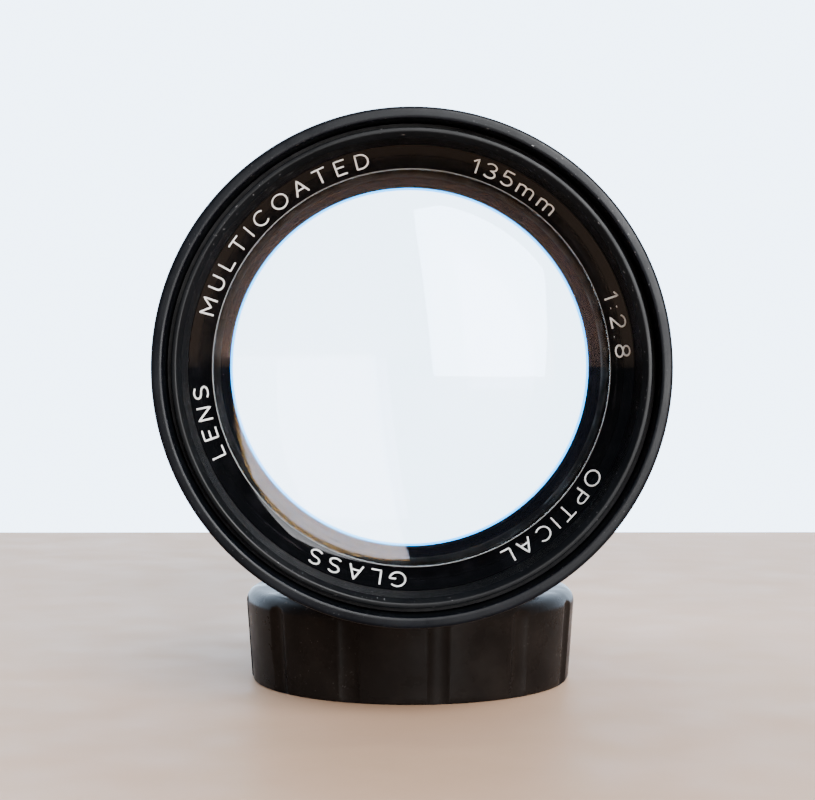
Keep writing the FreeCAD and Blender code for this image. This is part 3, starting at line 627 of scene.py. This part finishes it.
def make_cells():
    cell = [(25.0, 78.6), (25.0, 68.4), (22.5, 68.4), (22.5, 66.15), (21.5, 66.15), (21.2, 65.6),
            (21.2, 65.2), (20.4, 64.4), (20.4, 64.0), (19.6, 63.2), (19.6, 62.8), (18.7, 61.8),
            (19.45, 61.8), (19.45, 50.0), (23.9, 50.0), (23.9, 62.2), (26.3, 62.2), (26.3, 78.6)]
    lathe("front_cell_turned", rounded(cell, 0.05, 2), MATERIALS["matt_black"], "front_barrel",
          ("front_cell",))
    front_s, front_r, depth, narrowing, steps = 76.5, 24.25, 8.2, 1.85, 8
    spacer = [(22.1, 67.75), (22.45, 67.75), (22.45, 68.45), (24.9, 68.45), (24.9, front_s),
              (front_r, front_s)]
    for i in range(steps):
        s = front_s - (i + 0.5) * depth / steps
        r = front_r - (i + 1) * narrowing / steps
        spacer += [(r + 0.18, s), (r, s - 0.15)]
    lathe("element_spacer_turned", spacer, MATERIALS["matt_black"], "front_barrel",
          ("element_spacer",))
    plate = [(15.6, 43.2, 0.03), (23.3, 43.2), (23.3, 39.5), (23.95, 39.5), (23.95, 44.6),
             (17.5, 44.6), (17.5, 44.35), (16.9, 44.35), (16.9, 44.6), (16.5, 44.6),
             (16.1, 44.0), (15.95, 44.0), (15.74, 43.52)]
    lathe("iris_housing_turned", rounded(plate, 0.03, 2), MATERIALS["matt_black"], "front_barrel",
          ("iris_housing",))
    # a thin blue film at the edge of the iris opening: a painted colour fringe of light round the bright
    # disc, not a part of the lens
    film = [(15.38, 43.29), (15.62, 43.29), (15.62, 43.3), (15.38, 43.3)]
    lathe("iris_opening_painted_fringe", film, PAINTED_FRINGE_FILM, "front_barrel")


# ---- focus ring ---------------------------------------------------------------------------------------
TOP = 90                  # angle of the index line
SUNK = 0.03               # how far a figure's middle line lies below a ring's surface
GRIP_RIBS, GRIP_ROWS = 48, 6


def make_focus_ring():
    ring_r, rear, front = reach("focus_ring")
    seat_r = ring_r - 0.8
    corners = [(28.95, rear), (ring_r, rear, 0.3), (ring_r, 36.4, 0.15), (29.6, 36.8, 0.1),
               (29.6, 37.6, 0.1), (ring_r, 38.0, 0.15), (ring_r, 38.6, 0.1), (seat_r, 38.6),
               (seat_r, 57.4), (ring_r, 57.4, 0.1), (ring_r, front, 0.3), (28.0, front),
               (28.0, 38.0), (28.95, 38.0)]
    lathe("focus_ring_turned", rounded(corners, 0.05), MATERIALS["black_anodised"], "focus_ring",
          ("focus_ring",))


def make_grip():
    """Rubber sleeve with rows of raised blocks, softened at their edges."""
    grip_r, rear, front = reach("focus_grip")
    low_r, seat_r = grip_r - 0.4, grip_r - 1.1
    pitch = (front - rear - 0.6) / GRIP_ROWS
    corners = [(seat_r, rear), (low_r, rear, 0.15)]
    for i in range(GRIP_ROWS):
        s = rear + 0.4 + pitch * i
        corners += [(low_r, s, 0.1), (grip_r, s + 0.3, 0.2), (grip_r, s + pitch - 0.7, 0.2),
                    (low_r, s + pitch - 0.4, 0.1)]
    corners += [(low_r, front, 0.15), (seat_r, front)]

    def ribs(radius, s, angle):
        """Drops the raised rows to the low surface between the blocks."""
        if radius <= low_r:
            return radius
        share = angle / (2 * math.pi) * GRIP_RIBS % 1.0
        away = abs(share - 0.5) * 2
        drop = min(1.0, max(0.0, (away - 0.72) / 0.12))
        return radius - (radius - low_r) * drop

    lathe("focus_grip_moulded", rounded(corners, 0.1, 3), MATERIALS["grip_rubber"], "focus_ring",
          ("focus_grip",), segments=GRIP_RIBS * 16, shape=ribs, sharp=40)


FOCUS_TURN = 240.0        # degrees from infinity to the nearest distance
NEAREST = 1.5             # metres
LENS_DEPTH = 0.15         # metres of a distance, counted from the film, that the lens takes up


def turn_for(metres):
    """The focus ring's turn for a distance, in degrees."""
    return FOCUS_TURN * (NEAREST - LENS_DEPTH) / (metres - LENS_DEPTH)


def make_distance_scale():
    """Metres in white, feet in orange; a mark's place comes from the focusing travel."""
    text_r = reach("focus_ring")[0] - SUNK
    white, orange = [], []
    rows = [(white, 24.0, [("1.5", 1.5), ("1.7", 1.7), ("2", 2.0), ("2.5", 2.5), ("3", 3.0),
                           ("4", 4.0), ("6", 6.0), ("12", 12.0)]),
            (orange, 29.6, [("5", 1.524), ("6", 1.829), ("7", 2.134), ("8", 2.438), ("10", 3.048),
                            ("15", 4.572), ("25", 7.62), ("50", 15.24)])]
    height = 2.0
    for strokes, s, marks in rows:
        for text, metres in marks:
            plain, width = written(text, height)
            strokes += on_barrel(plain, text_r, TOP + turn_for(metres), s, width)
    for strokes, text, s in ((white, "m", 24.0), (orange, "ft", 29.6)):
        plain, width = written(text, height)
        strokes += on_barrel(plain, text_r, TOP - 14, s, width)
    infinity, width = written("~", 2.6)
    white += on_barrel(infinity, text_r, TOP, 25.6, width)
    for metres in (1.5, 2.0, 2.5, 3.0, 4.0, 6.0, 12.0):
        white += on_barrel([[(0, 0), (0, 1.0)]], text_r, TOP + turn_for(metres), 22.7)
    engrave("distance_metres", white, WHITE, "focus_ring", 0.11)
    engrave("distance_feet", orange, ORANGE, "focus_ring", 0.11)


# ---- fixed rings at the rear -----------------------------------------------------------------------------
DEPTH_TURN = 0.9          # degrees from the index to a depth mark, for each unit of its f-number


def make_scale_ring():
    ring_r, rear, front = reach("scale_ring")
    text_r = ring_r - SUNK
    corners = [(28.2, rear), (ring_r, rear, 0.3), (ring_r, 22.0, 0.3), (28.8, 22.0),
               (28.8, front, 0.1), (28.1, front), (28.1, 18.0), (28.2, 18.0)]
    lathe("scale_ring_turned", rounded(corners, 0.04), MATERIALS["black_anodised"], "root",
          ("scale_ring",))
    marks, numbers = [], []
    for stop, named in ((4, False), (8, True), (11, False), (16, True), (22, True)):
        for side in (-1, 1):
            angle = TOP + side * DEPTH_TURN * stop
            marks += on_barrel([[(0, 0), (0, 1.5)]], text_r, angle, 20.1)
            if named:
                plain, width = written(str(stop), 1.35)
                numbers += on_barrel(plain, text_r, angle, 18.2, width)
    engrave("depth_marks", marks, WHITE, "root", 0.08)
    engrave("depth_numbers", numbers, WHITE, "root", 0.08)
    index = on_barrel([[(0, 0), (0, 5.0)]], text_r, TOP, 16.4)
    engrave("index_line", index, ORANGE, "root", 0.16)
    dot = on_barrel([[(0, 0), (0.01, 0.02)]], ring_r - 0.25, TOP - 4.2, 17.3)
    engrave("infrared_dot", dot, RED, "root", 0.42)


FLUTES = 36
STOP_TURN = 9             # degrees from one f-number to the next


def make_aperture_ring():
    ring_r, rear, front = reach("aperture_ring")
    band_r = 29.3
    bore_r = 28.25
    corners = [(bore_r, rear), (ring_r, rear, 0.3), (ring_r, 10.0, 0.0), (ring_r, 11.5, 0.0),
               (ring_r, 11.9, 0.1), (band_r, 12.2, 0.05), (band_r, front, 0.2), (bore_r, front)]
    scoop_r, scoop_at = 1.15, ring_r + 0.7

    def flutes(radius, s, angle):
        """Scoops round hollows out of the raised band."""
        if radius < band_r - 0.05 or s > 11.6:
            return radius
        share = (math.degrees(angle) - 5) / 360 * FLUTES % 1.0
        across = math.radians(min(share, 1 - share) * 360 / FLUTES)
        inside = scoop_r ** 2 - (scoop_at * math.sin(across)) ** 2
        if inside <= 0:
            return radius
        return min(radius, scoop_at * math.cos(across) - math.sqrt(inside))

    lathe("aperture_ring_turned", rounded(corners, 0.05), MATERIALS["black_anodised"],
          "aperture_ring", ("aperture_ring",), segments=FLUTES * 20,
          shape=flutes, sharp=28)
    strokes = []
    for step, text in enumerate(("2.8", "4", "5.6", "8", "11", "16", "22")):
        plain, width = written(text, 1.9)
        strokes += on_barrel(plain, band_r - SUNK, TOP - STOP_TURN * step, 12.75, width)
    engrave("aperture_numbers", strokes, WHITE, "aperture_ring", 0.10)


# ---- grub screws, drawn at the surface of the rings that hide their holes --------------------------
SCREW_LEVELS = [(0.74, -0.12, 0), (0.70, 0.012, 0), (0.61, 0.014, 0), (0.60, 0.02, 1),
                (0.52, 0.045, 1), (0.001, 0.05, 1)]   # radius, rise, and 0 dark or 1 steel
SLOT_LONG, SLOT_WIDE, SLOT_RISE = 0.52, 0.07, 0.056   # half the slot's length and width
SCREW_SIDES = 24


def add_screw_end(work, degrees, radius, s):
    """One screw end in a dark ring, with a slot, on a ring's surface."""
    angle = math.radians(degrees)
    out = Vector((math.cos(angle), 0, math.sin(angle)))
    side = Vector((-math.sin(angle), 0, math.cos(angle)))
    along = Vector((0, -1, 0))

    def corner(u, v, height):
        return work.verts.new((out * height + side * u + along * (s + v)) * MM)

    rings = []
    for r, rise, _ in SCREW_LEVELS:
        ring = []
        for k in range(SCREW_SIDES):
            turn = 2 * math.pi * k / SCREW_SIDES
            u, v = r * math.cos(turn), r * math.sin(turn)
            ring.append(corner(u, v, math.sqrt(radius * radius - u * u) + rise))
        rings.append(ring)
    for lower, upper, level in zip(rings, rings[1:], SCREW_LEVELS[1:]):
        join_rings(work, lower, upper, level[2])
    work.faces.new(rings[0])
    work.faces.new(rings[-1]).material_index = 1
    ends = [(-SLOT_WIDE, -SLOT_LONG), (-SLOT_WIDE, SLOT_LONG), (SLOT_WIDE, SLOT_LONG),
            (SLOT_WIDE, -SLOT_LONG)]
    low, high = [[corner(u, v, radius + rise) for u, v in ends] for rise in (0.0, SLOT_RISE)]
    work.faces.new(low)
    work.faces.new(high)
    join_rings(work, low, high, 0)


def join_rings(work, lower, upper, material):
    """Faces between two rings of the same number of points."""
    count = len(lower)
    for k in range(count):
        face = work.faces.new((lower[k], lower[(k + 1) % count], upper[(k + 1) % count], upper[k]))
        face.material_index = material


def make_grub_screws(node, body, radius, s, angles):
    mesh = bpy.data.meshes.new(node + "_ends")
    work = bmesh.new()
    for degrees in angles:
        add_screw_end(work, degrees, radius, s)
    bmesh.ops.recalc_face_normals(work, faces=work.faces)
    work.to_mesh(mesh)
    work.free()
    finish_piece(node + "_ends", mesh, MATERIALS["matt_black"], body, (node,),
                 sharp=40)
    mesh.materials.append(MATERIALS["screw_steel"])


# ---- the cap under the lens --------------------------------------------------------------------------
CAP_TOP_R, CAP_FOOT_R = 22.9, 22.0
CAP_SHOULDER = 1.9        # radius of the rounding at the top
CAP_IN_R, CAP_THREAD_R = 21.3, 20.55
CAP_GROOVES = 12
GROOVE_R, GROOVE_DEPTH = 2.6, 0.5
GROOVE_TOP = -2.3         # height at which a groove starts to run out
FIRST_GROOVE = math.radians(-141.0)


def cap_outline(height, taper):
    """Half of the cap, cut through its middle, from the top's centre to the lid's inner centre."""
    flat_r = CAP_TOP_R - CAP_SHOULDER
    outline = [(flat_r * i / 24, 0.0, 0.0) for i in range(25)]
    for i in range(1, 13):
        turn = math.radians(90 * i / 13)
        outline.append((flat_r + (CAP_SHOULDER - taper * CAP_SHOULDER) * math.sin(turn),
                        CAP_SHOULDER * (math.cos(turn) - 1), 1.0 if 3 < i < 10 else 0.0))
    for i in range(21):
        z = -CAP_SHOULDER - (height - CAP_SHOULDER - 0.4) * i / 20
        outline.append((CAP_TOP_R + taper * z, z, 0.0))
    corners = [(21.85, -height, 0.2), (CAP_IN_R, -height, 0.1)]
    for i in range(5):
        z = -height + 0.5 + i
        corners += [(CAP_IN_R, z, 0.04), (CAP_THREAD_R, z + 0.35, 0.06),
                    (CAP_THREAD_R, z + 0.6, 0.06), (CAP_IN_R, z + 0.95, 0.04)]
    corners += [(20.0, -6.6, 0.05), (20.0, -2.2, 0.4), (0.0, -2.2, 0.0)]
    # the end of the side and a point inside the lid close the outline for rounding, then go
    foot, inside_lid = (CAP_FOOT_R, -height + 0.4, 0.0), (0.0, -1.0, 0.0)
    return outline + rounded([foot] + corners + [inside_lid], 0.1, 3)[1:-1]


def make_rear_cap():
    """Moulded cap standing mouth down, with softened scallops round its side."""
    low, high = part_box("rear_cap")
    middle = (low + high) / 2
    height = (high.z - low.z) / MM
    taper = (CAP_TOP_R - CAP_FOOT_R) / height

    def scallops(radius, z, angle):
        """Bites a round groove out of the side; its top end is part of a sphere."""
        outer = CAP_TOP_R + taper * z
        if radius < outer - 2.2 or z < -height + 0.05 or radius < 21.4:
            return radius
        spacing = 2 * math.pi / CAP_GROOVES
        across = (angle - FIRST_GROOVE + spacing / 2) % spacing - spacing / 2
        room = GROOVE_R
        if z > GROOVE_TOP:
            room = math.sqrt(max(0.0, GROOVE_R ** 2 - (z - GROOVE_TOP) ** 2))
        at = outer - GROOVE_DEPTH + GROOVE_R
        inside = room * room - (at * math.sin(across)) ** 2
        if inside <= 0:
            return radius
        wall = at * math.cos(across) - math.sqrt(inside)
        if wall >= radius:
            return radius
        near = min(1.0, (radius - wall) / 0.06)
        return radius - (radius - wall) * (near * near * (3 - 2 * near))

    def upright(radius, z, angle):
        """A point round the cap's own upright axis."""
        return (radius * math.cos(angle) * MM + middle.x, radius * math.sin(angle) * MM + middle.y,
                z * MM + high.z)

    mesh = turned_mesh("rear_cap_moulded", cap_outline(height, taper), CAP_GROOVES * 40, scallops,
                       upright, False)
    finish_piece("rear_cap_moulded", mesh, MATERIALS["cap_plastic"], "rear_cap",
                 ("rear_cap",), sharp=35)


make_hood()
make_front_shell()
make_name_ring()
make_glass()
make_cells()
make_focus_ring()
make_grip()
make_distance_scale()
make_scale_ring()
make_aperture_ring()
make_grub_screws("scale_ring_screws", "root", reach("scale_ring")[0], 17.0, (30, 150, 270))
make_grub_screws("shell_screws", "front_barrel", reach("front_shell")[0], 63.0, (90, 210, 330))
make_rear_cap()

# the pieces inside and behind keep the shape that they were packed with
for part in frame["record"]["subparts"]:
    mesh = frame["nodes"][part["node"]].data
    mesh.materials.clear()
    mesh.materials.append(MATERIALS[part["material_slot"]])


# ---- floor, light and surroundings ------------------------------------------------------------------
def make_floor():
    """A plain pale table top that ends behind the lens."""
    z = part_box("rear_cap")[0].z
    mesh = bpy.data.meshes.new("floor")
    work = bmesh.new()
    side, near, far, thick, soft = 5.0, -5.0, 0.152, 0.03, 0.0015
    profile = [(near, -thick), (near, 0.0)]
    for i in range(9):
        turn = math.radians(90 * i / 8)
        profile.append((far - soft + soft * math.sin(turn), -soft + soft * math.cos(turn)))
    profile.append((far, -thick))
    left = [work.verts.new((-side, y, z + dz)) for y, dz in profile]
    right = [work.verts.new((side, y, z + dz)) for y, dz in profile]
    count = len(profile)
    for i in range(count):
        k = (i + 1) % count
        work.faces.new((left[i], left[k], right[k], right[i]))
    work.faces.new(left)
    work.faces.new(right)
    bmesh.ops.recalc_face_normals(work, faces=work.faces)
    work.to_mesh(mesh)
    work.free()
    floor = bpy.data.objects.new("floor", mesh)
    bpy.context.scene.collection.objects.link(floor)
    s = Shader("table_top", (0.60, 0.37, 0.24), 0.5, Specular_IOR_Level=0.04)
    s.color(s.mix(s.ramp(s.noise(18.0, 5.0), 0.35, 0.7, 0.0, 1.0), (0.57, 0.35, 0.22),
                  (0.64, 0.40, 0.265)))
    s.roughness(s.noise(90.0, 4.0), 0.3, 0.7, 0.45, 0.6)
    s.bump(s.noise(700.0, 3.0), 0.00002, 0.15)
    mesh.materials.append(s.material)


WINDOW_TURN, WINDOW_RISE = 21, 20   # degrees to the right of the optical axis and above it
WINDOW_SIZE = 0.58, 0.90


def make_window():
    """A window high on the right behind the camera, with a second light that only glints."""
    aim = Vector((0.0, -0.09, 0.0))
    turn, rise = math.radians(WINDOW_TURN), math.radians(WINDOW_RISE)
    away = Vector((math.sin(turn) * math.cos(rise), -math.cos(turn) * math.cos(rise),
                   math.sin(rise)))
    for name, energy, diffuse in (("window", 28.0, True), ("window_sky", 95.0, False)):
        data = bpy.data.lights.new(name, "AREA")
        data.shape = "RECTANGLE"
        data.size, data.size_y = WINDOW_SIZE
        data.energy = energy
        window = bpy.data.objects.new(name, data)
        bpy.context.scene.collection.objects.link(window)
        window.location = aim + away * (1.0 if diffuse else 1.01)
        window.rotation_euler = away.to_track_quat("Z", "Y").to_euler()
        window.visible_diffuse = diffuse


def make_room():
    """A dim room in front of the lens that grows into a bright pale wall behind it."""
    world = bpy.data.worlds.new("room")
    world.use_nodes = True
    nodes, links = world.node_tree.nodes, world.node_tree.links
    direction = nodes.new("ShaderNodeTexCoord")
    split = nodes.new("ShaderNodeSeparateXYZ")
    spread = nodes.new("ShaderNodeMapRange")
    spread.interpolation_type = "SMOOTHSTEP"
    for socket, value in (("From Min", 0.0), ("From Max", 0.75), ("To Min", 0.18),
                          ("To Max", 7.4)):
        spread.inputs[socket].default_value = value
    background = nodes["Background"]
    background.inputs["Color"].default_value = (0.64, 0.80, 1.0, 1.0)
    links.new(direction.outputs["Generated"], split.inputs[0])
    links.new(split.outputs["Y"], spread.inputs["Value"])
    links.new(spread.outputs["Result"], background.inputs["Strength"])
    bpy.context.scene.world = world


make_floor()
make_window()
make_room()
